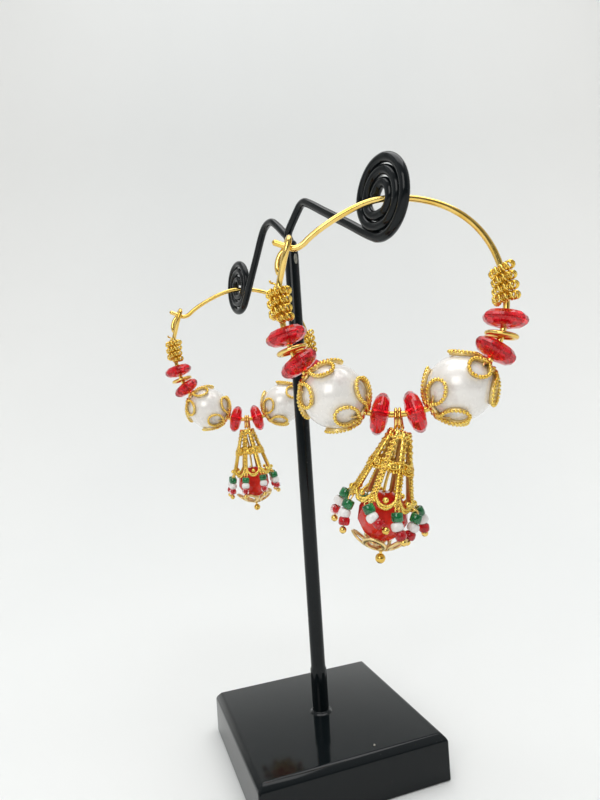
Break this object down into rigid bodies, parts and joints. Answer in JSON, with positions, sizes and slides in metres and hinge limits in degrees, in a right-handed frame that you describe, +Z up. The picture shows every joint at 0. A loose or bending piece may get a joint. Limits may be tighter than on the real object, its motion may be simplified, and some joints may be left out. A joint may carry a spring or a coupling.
{
  "type": "pair of jhumka hoop earrings on a display stand",
  "caption": "Pair of gold jhumka hoop earrings with pearls, red beads and pierced bell drops, hung from a black wire display stand.",
  "frame": {"origin": "middle of the stand base's underside, below the post", "axes": "+Z up along the post; +X along the arm that carries the front earring; +Y across the arms"},
  "size_m": [0.1058, 0.0484, 0.1352],
  "materials": {
    "black_acrylic": "polished",
    "black_enamel": "gloss enamel",
    "gold": "antique gold, polished on the wires",
    "red_glass": "cut and polished",
    "pearl": "soft pearl lustre",
    "seed_beads": "polished glass beads, green, white and red over a gold ball"
  },
  "bodies": {
    "stand": {"stand_base": "black_acrylic", "stand_frame": "black_enamel", "front_hoop_wire": "gold", "front_coil_left": "gold", "front_saucer_left_upper": "red_glass", "front_saucer_left_lower": "red_glass", "front_saucer_left_inner": "red_glass", "front_ring_left": "gold", "front_pearl_left": "pearl", "front_cap_left_inner": "gold", "front_cap_left_outer": "gold", "front_coil_right": "gold", "front_saucer_right_upper": "red_glass", "front_saucer_right_lower": "red_glass", "front_saucer_right_inner": "red_glass", "front_ring_right": "gold", "front_pearl_right": "pearl", "front_cap_right_inner": "gold", "front_cap_right_outer": "gold", "back_hoop_wire": "gold", "back_coil_left": "gold", "back_saucer_left_upper": "red_glass", "back_saucer_left_lower": "red_glass", "back_saucer_left_inner": "red_glass", "back_ring_left": "gold", "back_pearl_left": "pearl", "back_cap_left_inner": "gold", "back_cap_left_outer": "gold", "back_coil_right": "gold", "back_saucer_right_upper": "red_glass", "back_saucer_right_lower": "red_glass", "back_saucer_right_inner": "red_glass", "back_ring_right": "gold", "back_pearl_right": "pearl", "back_cap_right_inner": "gold", "back_cap_right_outer": "gold"},
    "front_drop": {"front_head_pin": "gold", "front_bell": "gold", "front_centre_bead": "red_glass", "front_bottom_cap": "gold", "front_dangle_1": "seed_beads", "front_dangle_2": "seed_beads", "front_dangle_3": "seed_beads", "front_dangle_4": "seed_beads", "front_dangle_5": "seed_beads", "front_dangle_6": "seed_beads", "front_dangle_7": "seed_beads", "front_dangle_8": "seed_beads"},
    "back_drop": {"back_head_pin": "gold", "back_bell": "gold", "back_centre_bead": "red_glass", "back_bottom_cap": "gold", "back_dangle_1": "seed_beads", "back_dangle_2": "seed_beads", "back_dangle_3": "seed_beads", "back_dangle_4": "seed_beads", "back_dangle_5": "seed_beads", "back_dangle_6": "seed_beads", "back_dangle_7": "seed_beads", "back_dangle_8": "seed_beads"}
  },
  "joints": [
    {"name": "front_drop_swing", "type": "hinge", "parent": "stand", "child": "front_drop", "pos_m": [0.04025, -0.0002, 0.08199], "axis": [0.5563, 0.831, 0], "range_deg": [-70, 70]},
    {"name": "back_drop_swing", "type": "hinge", "parent": "stand", "child": "back_drop", "pos_m": [-0.03895, 0.0002, 0.08199], "axis": [0.3746, 0.9272, 0], "range_deg": [-65, 65]}
  ]
}
